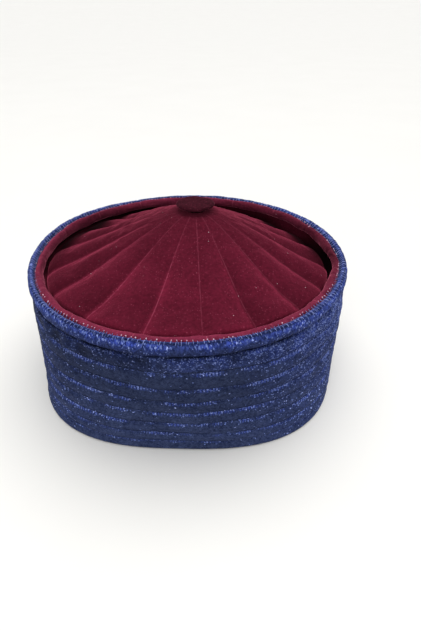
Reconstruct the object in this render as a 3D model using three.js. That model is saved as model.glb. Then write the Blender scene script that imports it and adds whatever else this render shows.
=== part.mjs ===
import * as THREE from 'three';

// Sizes are in millimetres. +Z is up, the front faces -Y and the base lies on Z = 0.

// Rim line, where the velvet roll meets the blue bead.
const RIM_HALF_X = 89.1;
const RIM_HALF_Y = 89.7;
const RIM_Z = 71.8;

// Wall: a squarer base that rises to a round top, which stands out further at the right.
const BASE_HALF_X = 91.3;
const BASE_HALF_Y = 92.0;
const BASE_FRONT_POWER = 2.78;
const BASE_BACK_POWER = 2.2;
const BASE_FRONT_FADE = { from: -0.4, to: 0.6 };
const BASE_TURN_DEG = -1.4;
const RIGHT_BULGE = 1.8;
const WALL_SPREAD = 4.4;
const WALL_TOP_Z = RIM_Z - 5.4;
const WALL_BEAD_GAP = 0.4;
const WALL_STRAIGHT_Z = RIM_Z - 9;
const WALL_TOP_OUT = 2.6;
const WALL_TOP_STEP = 0.3;
const WALL_TOP_IN = -1.0;
const WALL_FACE_IN = -1.9;
const WALL_TOP_SLOPE = 1.8;
const WALL_FACE_DROP = 1.5;
const BASE_WALL = 5.0;
const HEM_ROUND = 1.0;
const WALL_STEPS = 64;

// Stitched rows on the wall: height and how many waves each row wanders round.
const ROWS = [
  { height: 6.0, waves: 3, phase: 0.4 },
  { height: 12.6, waves: 4, phase: 2.1 },
  { height: 21.2, waves: 3, phase: 4.0 },
  { height: 29.3, waves: 5, phase: 1.2 },
  { height: 37.3, waves: 4, phase: 5.3 },
  { height: 46.4, waves: 3, phase: 2.8 },
  { height: 56.2, waves: 4, phase: 0.9 },
];
const ROW_WANDER = 0.5;
const ROW_DEPTH = 1.2;
const BAND_STEPS = [0, 0.2, 0.5, 0.8];

// Bead and roll sections, as offsets from the rim line; both are taller or wider on some sides.
// Where the hand sewing lets one rise or sag, a bump gives the direction, the spread and the height.
const BEAD = {
  inner: 0.25, outer: 4.4, outerRight: 0.7, outerFront: 0.6,
  bottom: -5.0, halfHeight: 3.1, frontHeight: 0.28, points: 8, steps: 64,
  topBumps: [
    { deg: 155, spread: 25, height: 1.7 },
    { deg: -138, spread: 24, height: -1.35 },
    { deg: -95, spread: 20, height: -0.25 },
    { deg: -48, spread: 22, height: -1.1 },
  ],
  bottomBumps: [
    { deg: -140, spread: 30, height: -2.7 },
    { deg: -95, spread: 22, height: -0.9 },
    { deg: -52, spread: 24, height: -1.3 },
  ],
};
const ROLL = {
  inner: -4.85, outer: 0.0, outerRight: 0, outerFront: 0,
  bottom: -5.0, halfHeight: 2.75, frontHeight: -0.25, points: 8, steps: 5,
  topBumps: [
    { deg: 155, spread: 25, height: 1.2 },
    { deg: -110, spread: 35, height: 0.6 },
  ],
  bottomBumps: [],
};
const ROLL_PINCH = 0.5;
const ROLL_SEAMS_DEG = [0, 23, 46, 69, 93, 117, 140, 163, 187, 210, 233, 256, 278, 299, 320, 340];

// Crown: gores between seams, seam heights over the rim line and the puff of each gore.
const CROWN_SEAMS_DEG = [
  -165, -146, -124, -102, -83, -65, -45, -26, -6, 14, 34, 54, 74, 94, 114, 134, 154, 174,
];
const CROWN_APEX_X = 5.0;
const CROWN_APEX_Y = 4.0;
const CROWN_INSET = 5.6;
const CROWN_PROFILE = [
  { share: 0.0, rise: 23.6 },
  { share: 0.15, rise: 23.6 },
  { share: 0.25, rise: 21.0 },
  { share: 0.4, rise: 15.6 },
  { share: 0.6, rise: 7.8 },
  { share: 0.8, rise: 1.0 },
  { share: 1.0, rise: -4.3 },
];
const CROWN_PUFF = 2.0;
const CROWN_PUFF_FADE = { from: 0.15, to: 0.85 };
const CROWN_EDGE_PUFF = 1.2;
const CROWN_WALL = 2.2;
const CROWN_RINGS = [0.15, 0.24, 0.34, 0.45, 0.56, 0.67, 0.78, 0.88, 0.95, 1.0];
const CROWN_INNER_RINGS = [0.9, 0.74, 0.56, 0.36, 0.15];
const GORE_STEPS = 5;

// The crown sinks towards the right of its back, and more towards its edge.
const CROWN_DIP = 5.8;
const CROWN_DIP_DEG = 58;
const CROWN_DIP_POWER = 1.6;

// The crown's edge turns down and runs on under the roll to the wall; dip is its share of the sinking.
const CROWN_FLANGE = [
  { out: -5.5, up: -6.2, dip: 0.5 },
  { out: -4.9, up: -5.6, dip: 0.0 },
  { out: -2.35, up: -5.5, dip: 0.0 },
  { out: -2.35, up: -7.7, dip: 0.3 },
  { out: -7.6, up: -8.9, dip: 0.45 },
];

// The trough beside the roll is wider at the right of the back.
const TROUGH_EXTRA = 3.5;
const TROUGH_CENTRE_DEG = 38;
const TROUGH_SPREAD_DEG = 28;

// Button on the crown's top, drawn in underneath.
const BUTTON_RADIUS = 11.4;
const BUTTON_THICK = 4.6;
const BUTTON_SEAT = 0.3;
const BUTTON_STEPS = 32;

const BLUE = { color: 0x2a3358, roughness: 0.55, metalness: 0.25 };
const BLUE_EDGE = { color: 0x344083, roughness: 0.5, metalness: 0.25 };
const WINE = { color: 0x641c2e, roughness: 0.9, metalness: 0.0 };
const WINE_EDGE = { color: 0x6e2236, roughness: 0.9, metalness: 0.0 };
const WINE_BUTTON = { color: 0x551a2a, roughness: 0.9, metalness: 0.0 };

const rad = THREE.MathUtils.degToRad;
const lerp = THREE.MathUtils.lerp;

// Radius of a superellipse in the direction of an angle.
function planRadius(halfX, halfY, power, angle) {
  const alongX = Math.abs(Math.cos(angle) / halfX) ** power;
  const alongY = Math.abs(Math.sin(angle) / halfY) ** power;
  return (alongX + alongY) ** (-1 / power);
}

function rimRadius(angle) {
  return planRadius(RIM_HALF_X, RIM_HALF_Y, 2, angle);
}

// How far the wall's top stands out beyond its even plan, most of it at the right.
function rightBulge(angle) {
  return RIGHT_BULGE * ((1 + Math.cos(angle)) / 2) ** 2;
}

// The base has squarer corners at the front than at the back.
function baseRadius(angle) {
  const turned = angle - rad(BASE_TURN_DEG);
  const front = THREE.MathUtils.smoothstep(-Math.sin(turned), BASE_FRONT_FADE.from, BASE_FRONT_FADE.to);
  const power = lerp(BASE_BACK_POWER, BASE_FRONT_POWER, front);
  return planRadius(BASE_HALF_X, BASE_HALF_Y, power, turned);
}

// Height along a table of knots, eased so that it never overshoots them.
function smoothTable(knots, share) {
  const last = knots.length - 1;
  const slope = (i) => {
    if (i <= 0 || i >= last) return 0;
    const before = (knots[i].rise - knots[i - 1].rise) / (knots[i].share - knots[i - 1].share);
    const after = (knots[i + 1].rise - knots[i].rise) / (knots[i + 1].share - knots[i].share);
    return before * after <= 0 ? 0 : (2 * before * after) / (before + after);
  };
  let i = 0;
  while (i < last - 1 && share > knots[i + 1].share) i += 1;
  const width = knots[i + 1].share - knots[i].share;
  const t = (share - knots[i].share) / width;
  const endSlope = i + 1 === last ? (knots[last].rise - knots[last - 1].rise) / width : slope(i + 1);
  const h00 = 2 * t ** 3 - 3 * t ** 2 + 1;
  const h10 = t ** 3 - 2 * t ** 2 + t;
  const h01 = -2 * t ** 3 + 3 * t ** 2;
  const h11 = t ** 3 - t ** 2;
  return h00 * knots[i].rise + h10 * width * slope(i) + h01 * knots[i + 1].rise + h11 * width * endSlope;
}

// Turn the mesh inside out if its volume comes out negative.
function outward(positions, triangles) {
  const a = new THREE.Vector3();
  const b = new THREE.Vector3();
  const c = new THREE.Vector3();
  let volume = 0;
  for (const [i, j, k] of triangles) {
    a.fromArray(positions, i * 3);
    b.fromArray(positions, j * 3);
    c.fromArray(positions, k * 3);
    volume += a.dot(b.cross(c));
  }
  return volume > 0 ? triangles : triangles.map(([i, j, k]) => [i, k, j]);
}

function namedMesh(name, positions, triangles, finish) {
  const geometry = new THREE.BufferGeometry();
  geometry.setAttribute('position', new THREE.Float32BufferAttribute(positions, 3));
  geometry.setIndex(outward(positions, triangles).flat());
  geometry.computeVertexNormals();
  const mesh = new THREE.Mesh(geometry, new THREE.MeshStandardMaterial(finish));
  mesh.name = name;
  return mesh;
}

// Closed ring made of one closed section per angle; a section lists [radius, height].
function ringMesh(name, angles, sectionAt, finish) {
  const sections = angles.map(sectionAt);
  const count = sections[0].length;
  const positions = [];
  angles.forEach((angle, a) => {
    for (const [radius, height] of sections[a]) {
      positions.push(radius * Math.cos(angle), radius * Math.sin(angle), height);
    }
  });
  const triangles = [];
  for (let a = 0; a < angles.length; a += 1) {
    const next = (a + 1) % angles.length;
    for (let p = 0; p < count; p += 1) {
      const after = (p + 1) % count;
      const corner = [a * count + p, next * count + p, next * count + after, a * count + after];
      triangles.push([corner[0], corner[1], corner[2]], [corner[0], corner[2], corner[3]]);
    }
  }
  return namedMesh(name, positions, triangles, finish);
}

function evenAngles(steps) {
  return Array.from({ length: steps }, (_, i) => (i / steps) * 2 * Math.PI);
}

// Angles that run from seam to seam, with the share of the way across for each.
function seamAngles(seamsDeg, steps) {
  const result = [];
  seamsDeg.forEach((seam, i) => {
    const next = i + 1 < seamsDeg.length ? seamsDeg[i + 1] : seamsDeg[0] + 360;
    for (let s = 0; s < steps; s += 1) {
      const share = s / steps;
      result.push({ angle: rad(lerp(seam, next, share)), share });
    }
  });
  return result;
}

// Full between two seams and nothing on them.
function puffShare(share) {
  return 1 - (2 * share - 1) ** 2;
}

// Angle from one direction to another, between half a turn back and half a turn on.
function turnTo(angle, deg) {
  return Math.atan2(Math.sin(angle - rad(deg)), Math.cos(angle - rad(deg)));
}

function bumpSum(bumps, angle) {
  const heightOf = (bump) => bump.height * Math.exp(-((turnTo(angle, bump.deg) / rad(bump.spread)) ** 2));
  return bumps.reduce((sum, bump) => sum + heightOf(bump), 0);
}

// Lower and upper limit of a section, over the rim line.
function sectionBottom(shape, angle) {
  return shape.bottom + bumpSum(shape.bottomBumps, angle);
}

function sectionTop(shape, angle) {
  const even = shape.bottom + 2 * (shape.halfHeight - shape.frontHeight * Math.sin(angle));
  return even + bumpSum(shape.topBumps, angle);
}

// Outer radius of the wall without its stitched rows.
function wallPlan(angle, height) {
  const share = Math.min(height / WALL_STRAIGHT_Z, 1);
  return lerp(baseRadius(angle), rimRadius(angle) + WALL_SPREAD + rightBulge(angle), share);
}

function wallSection(angle) {
  const rim = rimRadius(angle);
  const base = baseRadius(angle);
  const rowHeight = (row) => row.height + ROW_WANDER * Math.sin(row.waves * angle + row.phase);
  const outerTop = RIM_Z + sectionBottom(BEAD, angle) - WALL_BEAD_GAP;
  const levels = [HEM_ROUND, ...ROWS.map(rowHeight), outerTop];
  const section = [
    [base - BASE_WALL, 0],
    [base - HEM_ROUND, 0],
  ];
  for (let band = 0; band + 1 < levels.length; band += 1) {
    const topBand = band + 2 === levels.length;
    for (const share of BAND_STEPS) {
      const height = lerp(levels[band], levels[band + 1], share);
      const bulge = ROW_DEPTH * Math.sqrt(puffShare(band === 0 ? (1 + share) / 2 : share));
      const drawn = topBand ? (WALL_SPREAD + rightBulge(angle) - ROW_DEPTH - WALL_TOP_OUT) * share : 0;
      section.push([wallPlan(angle, height) - ROW_DEPTH + bulge - drawn, height]);
    }
  }
  section.push([rim + WALL_TOP_OUT, outerTop]);
  section.push([rim + WALL_TOP_STEP, outerTop]);
  section.push([rim + WALL_TOP_IN, WALL_TOP_Z]);
  section.push([rim + WALL_FACE_IN, WALL_TOP_Z - WALL_TOP_SLOPE]);
  section.push([rim + WALL_FACE_IN, WALL_STRAIGHT_Z - WALL_FACE_DROP]);
  section.push([lerp(base - BASE_WALL, rim + WALL_FACE_IN, 0.5), WALL_STRAIGHT_Z / 2]);
  return section;
}

// Oval section whose flats lie on its inner, outer, upper and lower limits.
function ovalSection(shape, angle, pinch) {
  const outer = shape.outer + shape.outerRight * Math.cos(angle) - shape.outerFront * Math.sin(angle);
  const middle = rimRadius(angle) + (outer + shape.inner) / 2;
  const halfWidth = (outer - shape.inner) / 2;
  const top = sectionTop(shape, angle);
  const bottom = sectionBottom(shape, angle);
  const halfHeight = (top - bottom) / 2;
  const corner = 1 / Math.cos(Math.PI / shape.points);
  return Array.from({ length: shape.points }, (_, i) => {
    const turn = ((i + 0.5) / shape.points) * 2 * Math.PI;
    const out = middle + (halfWidth * corner - pinch) * Math.cos(turn);
    const up = RIM_Z + (top + bottom) / 2 + (halfHeight * corner - pinch) * Math.sin(turn);
    return [out, up];
  });
}

function rollMesh() {
  const stops = seamAngles(ROLL_SEAMS_DEG, ROLL.steps);
  const angles = stops.map((stop) => stop.angle);
  const pinchAt = (i) => ROLL_PINCH * (1 - Math.sqrt(puffShare(stops[i].share)));
  return ringMesh('velvet_roll', angles, (angle, i) => ovalSection(ROLL, angle, pinchAt(i)), WINE_EDGE);
}

// Radius where the crown's gores end and its edge turns down.
function crownEdge(angle) {
  const away = turnTo(angle, TROUGH_CENTRE_DEG);
  const widening = TROUGH_EXTRA * Math.exp(-((away / rad(TROUGH_SPREAD_DEG)) ** 2));
  return rimRadius(angle) - CROWN_INSET - widening;
}

// How far the crown lies under its even profile.
function crownDip(angle, share) {
  const back = (1 + Math.cos(angle - rad(CROWN_DIP_DEG))) / 2;
  return CROWN_DIP * (back * share) ** CROWN_DIP_POWER;
}

function crownMesh() {
  const stops = seamAngles(CROWN_SEAMS_DEG, GORE_STEPS);
  const rings = [];
  const domeRing = (share, drop, puff) => stops.map((stop) => {
    const edge = crownEdge(stop.angle);
    const x = lerp(CROWN_APEX_X, edge * Math.cos(stop.angle), share);
    const y = lerp(CROWN_APEX_Y, edge * Math.sin(stop.angle), share);
    const grow = THREE.MathUtils.smoothstep(share, CROWN_PUFF_FADE.from, CROWN_PUFF_FADE.to);
    const lift = puff * grow * puffShare(stop.share);
    const sunk = drop + crownDip(stop.angle, share);
    return [x, y, RIM_Z + smoothTable(CROWN_PROFILE, share) + lift - sunk];
  });
  const flangeRing = (step) => stops.map((stop) => {
    const radius = rimRadius(stop.angle) + step.out;
    const up = step.up - step.dip * crownDip(stop.angle, 1);
    return [radius * Math.cos(stop.angle), radius * Math.sin(stop.angle), RIM_Z + up];
  });
  for (const share of CROWN_RINGS) rings.push(domeRing(share, 0, share < 1 ? CROWN_PUFF : CROWN_EDGE_PUFF));
  for (const step of CROWN_FLANGE) rings.push(flangeRing(step));
  for (const share of CROWN_INNER_RINGS) rings.push(domeRing(share, CROWN_WALL, 0));
  const positions = rings.flat(2);
  const count = stops.length;
  const triangles = [];
  for (let r = 0; r + 1 < rings.length; r += 1) {
    for (let s = 0; s < count; s += 1) {
      const next = (s + 1) % count;
      const corner = [r * count + s, r * count + next, (r + 1) * count + next, (r + 1) * count + s];
      triangles.push([corner[0], corner[2], corner[1]], [corner[0], corner[3], corner[2]]);
    }
  }
  const top = RIM_Z + CROWN_PROFILE[0].rise;
  const outerTip = positions.length / 3;
  positions.push(CROWN_APEX_X, CROWN_APEX_Y, top);
  const innerTip = outerTip + 1;
  positions.push(CROWN_APEX_X, CROWN_APEX_Y, top - CROWN_WALL);
  const lastRing = (rings.length - 1) * count;
  for (let s = 0; s < count; s += 1) {
    const next = (s + 1) % count;
    triangles.push([outerTip, s, next], [innerTip, lastRing + next, lastRing + s]);
  }
  return namedMesh('velvet_crown', positions, triangles, WINE);
}

function buttonMesh() {
  const profile = [
    { radius: 0, height: 0 },
    { radius: 0.64, height: 0 },
    { radius: 0.8, height: 0.35 },
    { radius: 0.96, height: 0.6 },
    { radius: 1, height: 0.75 },
    { radius: 0.95, height: 0.88 },
    { radius: 0.6, height: 0.97 },
    { radius: 0, height: 1 },
  ].map((knot) => new THREE.Vector2(knot.radius * BUTTON_RADIUS, knot.height * BUTTON_THICK));
  const seat = RIM_Z + CROWN_PROFILE[0].rise + BUTTON_SEAT;
  const positions = [CROWN_APEX_X, CROWN_APEX_Y, seat];
  const angles = evenAngles(BUTTON_STEPS);
  const inner = profile.slice(1, -1);
  for (const knot of inner) {
    for (const angle of angles) {
      const x = CROWN_APEX_X + knot.x * Math.cos(angle);
      const y = CROWN_APEX_Y + knot.x * Math.sin(angle);
      positions.push(x, y, seat + knot.y);
    }
  }
  const tip = positions.length / 3;
  positions.push(CROWN_APEX_X, CROWN_APEX_Y, seat + BUTTON_THICK);
  const at = (ring, step) => 1 + ring * BUTTON_STEPS + (step % BUTTON_STEPS);
  const triangles = [];
  for (let s = 0; s < BUTTON_STEPS; s += 1) {
    triangles.push([0, at(0, s + 1), at(0, s)]);
    for (let r = 0; r + 1 < inner.length; r += 1) {
      triangles.push([at(r, s), at(r, s + 1), at(r + 1, s + 1)], [at(r, s), at(r + 1, s + 1), at(r + 1, s)]);
    }
    triangles.push([at(inner.length - 1, s), at(inner.length - 1, s + 1), tip]);
  }
  return namedMesh('crown_button', positions, triangles, WINE_BUTTON);
}

const cap = new THREE.Group();
cap.name = 'cap';
cap.add(ringMesh('quilted_wall', evenAngles(WALL_STEPS), wallSection, BLUE));
cap.add(ringMesh('rim_bead', evenAngles(BEAD.steps), (angle) => ovalSection(BEAD, angle, 0), BLUE_EDGE));
cap.add(rollMesh());
cap.add(crownMesh());
cap.add(buttonMesh());

// The origin is the middle of the box round the cap, on the surface that it stands on.
const middle = new THREE.Box3().setFromObject(cap).getCenter(new THREE.Vector3());
for (const piece of cap.children) piece.geometry.translate(-middle.x, -middle.y, 0);

export default cap;
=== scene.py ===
"""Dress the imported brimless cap: quilted metallic wall, rolled rim and puffed velvet crown."""

import logging
import math
from collections.abc import Callable, Iterator
from contextlib import contextmanager
from dataclasses import dataclass
from enum import Enum, IntEnum

import bpy
import numpy as np
from mathutils import Matrix, Vector


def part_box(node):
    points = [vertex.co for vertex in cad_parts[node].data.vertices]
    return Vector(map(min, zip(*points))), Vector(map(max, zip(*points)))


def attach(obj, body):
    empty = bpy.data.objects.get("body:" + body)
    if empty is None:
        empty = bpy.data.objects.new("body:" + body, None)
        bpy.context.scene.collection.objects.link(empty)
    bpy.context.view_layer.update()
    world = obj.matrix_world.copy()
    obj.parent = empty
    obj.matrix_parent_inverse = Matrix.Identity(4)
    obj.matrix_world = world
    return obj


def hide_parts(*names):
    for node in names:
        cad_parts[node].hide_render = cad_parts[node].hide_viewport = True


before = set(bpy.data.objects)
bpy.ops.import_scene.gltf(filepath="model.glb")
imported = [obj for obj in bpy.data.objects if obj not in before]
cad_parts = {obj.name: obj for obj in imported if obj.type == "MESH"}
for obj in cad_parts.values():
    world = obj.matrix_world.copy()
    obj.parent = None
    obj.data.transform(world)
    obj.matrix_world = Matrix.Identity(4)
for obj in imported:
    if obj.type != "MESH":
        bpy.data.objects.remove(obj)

LOG = logging.getLogger("cap")
MM = 0.001
FULL_TURN = 2.0 * math.pi
# Most values of a noise lie in this range.
MIDDLE = (0.3, 0.7)
# Distance from a seam, in millimetres, at which nothing of it shows.
CLEAR_OF_SEAMS = 9.0

Array = np.ndarray
Piece = bpy.types.Object
Colour = tuple[float, float, float]
Place = tuple[float, float, float]
Settings = dict[str, object] | None
Sockets = dict[str | int, object] | None


class Slot(Enum):
    """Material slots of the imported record."""

    BLUE_CLOTH = "blue_metallic_cloth"
    WINE_VELVET = "wine_velvet"


class Seed(IntEnum):
    """Seeds of all that is left to chance."""

    PUCKERS = 5
    FOLDS = 11
    TUCK = 13
    WALL_WAVES = 17
    RIBS = 29
    BEAD_WAVES = 31
    BEAD_DENTS = 37
    ROLL_WAVES = 43
    BUTTON_WAVES = 53
    ROW_STITCHES = 61
    WHIP_PLACES = 67
    WHIP_STITCHES = 69
    THREAD_DOTS = 71


def operator_for(operation: str, first: bool = True) -> Callable[["Term", "Term | float"], "Term"]:
    """Make a method that stands for one of Python's operators.

    Args:
        operation: Blender's name of the operation.
        first: Whether the term stands on the operator's left.

    Returns:
        The method.
    """

    def method(term: "Term", other: "Term | float") -> "Term":
        """Join two values."""
        return term.maths(operation, other, first=first)

    return method


class Term:
    """A shader socket that takes part in Python expressions."""

    def __init__(self, graph: "Graph", socket: bpy.types.NodeSocket) -> None:
        """Keep the graph that new nodes go to and the socket that gives the value."""
        self.graph = graph
        self.socket = socket

    def maths(self, operation: str, *others: "Term | float", first: bool = True) -> "Term":
        """Add a Math node, with this term as its first or its last operand."""
        operands = [self, *others] if first else [*others, self]
        return self.graph.term("ShaderNodeMath", 0, {"operation": operation}, dict(enumerate(operands)))

    __add__ = operator_for("ADD")
    __radd__ = operator_for("ADD", False)
    __sub__ = operator_for("SUBTRACT")
    __rsub__ = operator_for("SUBTRACT", False)
    __mul__ = operator_for("MULTIPLY")
    __rmul__ = operator_for("MULTIPLY", False)
    __pow__ = operator_for("POWER")
    __gt__ = operator_for("GREATER_THAN")
    __lt__ = operator_for("LESS_THAN")

    def ramp(self, low: float, high: float, start: float = 0.0, end: float = 1.0) -> "Term":
        """Map the range from low to high smoothly to the range from start to end."""
        sockets = {0: self, 1: low, 2: high, 3: start, 4: end}
        return self.graph.term("ShaderNodeMapRange", 0, {"interpolation_type": "SMOOTHSTEP"}, sockets)


class Graph:
    """Adds nodes to one new material and links them."""

    noise_roughness: float = 0.6

    def __init__(self, name: str) -> None:
        """Start an empty material of that name."""
        self.material = bpy.data.materials.new(name)
        self.material.use_nodes = True
        self.tree = self.material.node_tree
        self.tree.nodes.clear()

    def node(self, kind: str, settings: Settings = None, sockets: Sockets = None) -> bpy.types.Node:
        """Add any node.

        Args:
            kind: Blender's type name of the node.
            settings: The node's own settings, set first.
            sockets: Values or terms for its input sockets, by name or number.

        Returns:
            The new node.
        """
        made = self.tree.nodes.new(kind)
        for key, value in (settings or {}).items():
            setattr(made, key, value)
        for key, value in (sockets or {}).items():
            if isinstance(value, Term):
                self.tree.links.new(value.socket, made.inputs[key])
            else:
                made.inputs[key].default_value = value
        return made

    def term(self, kind: str, output: str | int, settings: Settings = None, sockets: Sockets = None) -> Term:
        """Add any node and take one of its outputs, by name or number."""
        return Term(self, self.node(kind, settings, sockets).outputs[output])

    def terms(self, kind: str, outputs: tuple[str | int, ...], sockets: Sockets) -> list[Term]:
        """Add a node without settings and take several of its outputs, by name or number."""
        made = self.node(kind, None, sockets)
        return [Term(self, made.outputs[output]) for output in outputs]

    def place(self) -> Term:
        """Object coordinates."""
        return self.term("ShaderNodeTexCoord", "Object")

    def attribute(self, name: str) -> Term:
        """A float attribute of the mesh."""
        return self.term("ShaderNodeAttribute", "Fac", {"attribute_name": name})

    def noise(self, cells: float, detail: float = 2.0) -> Term:
        """Noise of so many cells in a metre, about 0.5 on average."""
        grain = {"Scale": cells, "Detail": detail, "Roughness": self.noise_roughness}
        return self.term("ShaderNodeTexNoise", "Fac", None, {"Vector": self.place()} | grain)

    def mix(self, share: Term | float, low: Term | Colour, high: Term | Colour) -> Term:
        """Mix two colours by the share of the second."""
        low, high = (end if isinstance(end, Term) else (*end, 1.0) for end in (low, high))
        return self.term("ShaderNodeMix", 2, {"data_type": "RGBA"}, {0: share, 6: low, 7: high})

    def vector(self, operation: str, sockets: Sockets) -> Term:
        """Add a Vector Math node."""
        return self.term("ShaderNodeVectorMath", 0, {"operation": operation}, sockets)

    def shaded(self, colour: Term) -> Term:
        """Darken or lighten a colour by the mesh's attribute shade, which holds painted light and shade."""
        return self.vector("SCALE", {0: colour, "Scale": self.attribute("shade")})

    def bump(self, strength: float, depth: float, height: Term) -> Term:
        """Normal of a relief of that depth, in metres."""
        sockets = {"Strength": strength, "Distance": depth, "Height": height}
        return self.term("ShaderNodeBump", 0, None, sockets)

    def surface(self, sockets: Sockets) -> Term:
        """Add a Principled shader."""
        return self.term("ShaderNodeBsdfPrincipled", 0, None, sockets)

    def finish(self, shader: Term) -> bpy.types.Material:
        """Make the shader the material's surface."""
        self.node("ShaderNodeOutputMaterial", None, {"Surface": shader})
        return self.material


@dataclass(frozen=True)
class Specks:
    """Small scattered dots: cells in a metre, share with a dot, least radius in cells, and strength."""

    cells: float
    share: float
    radius: float
    strength: float

    def term(self, graph: Graph) -> Term:
        """Add the dots' nodes.

        Args:
            graph: The material's graph.

        Returns:
            The dots' strength.
        """
        spots = {"Vector": graph.place(), "Scale": self.cells}
        tint, distance = graph.terms("ShaderNodeTexVoronoi", ("Color", "Distance"), spots)
        chance, size = graph.terms("ShaderNodeSeparateColor", (0, 1), {0: tint})
        near = distance < size * self.radius + self.radius
        return near * (chance > 1.0 - self.share) * self.strength


@dataclass(frozen=True)
class VelvetFinish:
    """Wine velvet: a dark pile with a red sheen where it turns away, lint and light seam lines, darkened and
    lightened by painted light and shade.
    """

    name: str
    deep: Colour
    pile: Colour
    sheen_tint: Colour
    sheen_weight: float
    sheen_roughness: float = 0.32
    roughness: float = 0.95
    specular: float = 0.03
    seam: Colour = (0.30, 0.055, 0.095)
    lint: Colour = (0.62, 0.42, 0.46)
    seam_mm: float = 0.25
    seam_share: float = 0.32
    drift_cells: float = 45.0
    tuft_cells: float = 650.0
    grain_cells: float = 1700.0
    wear_cells: float = 260.0
    lint_specks: Specks = Specks(330.0, 0.09, 0.045, 0.8)
    dust_specks: Specks = Specks(830.0, 0.5, 0.14, 0.36)

    def material(self) -> bpy.types.Material:
        """Make the node material.

        Returns:
            The velvet.
        """
        graph = Graph(self.name)
        drift = graph.noise(self.drift_cells, 3.0).ramp(*MIDDLE)
        tuft = graph.noise(self.tuft_cells)
        grain = graph.noise(self.grain_cells)
        light = drift * 0.3 + tuft.ramp(0.3, 0.72) * 0.45 + grain * 0.25
        colour = graph.mix(light, self.deep, self.pile)
        line = graph.attribute("seam_mm").ramp(self.seam_mm * 0.4, self.seam_mm * 1.6, 1.0, 0.0)
        worn = graph.noise(self.wear_cells).ramp(0.25, 0.65, 0.2, 1.0)
        colour = graph.mix(line * worn * self.seam_share, colour, self.seam)
        colour = graph.mix(self.lint_specks.term(graph), colour, self.lint)
        colour = graph.mix(self.dust_specks.term(graph), colour, self.seam)
        # The base colour takes the painted light and shade of the attribute shade.
        matt = {
            "Base Color": graph.shaded(colour),
            "Roughness": self.roughness,
            "Specular IOR Level": self.specular,
            "Normal": graph.bump(0.4, 0.0004, grain + tuft * 0.8),
        }
        sheen = {
            "Sheen Weight": self.sheen_weight,
            "Sheen Roughness": self.sheen_roughness,
            "Sheen Tint": (*self.sheen_tint, 1.0),
        }
        # Where the painted shade is deep, the sheen is left out as well.
        lit = graph.attribute("shade").ramp(0.1, 0.8)
        sides = {0: lit, 1: graph.surface(matt), 2: graph.surface(matt | sheen)}
        return graph.finish(graph.term("ShaderNodeMixShader", 0, None, sides))


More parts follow.
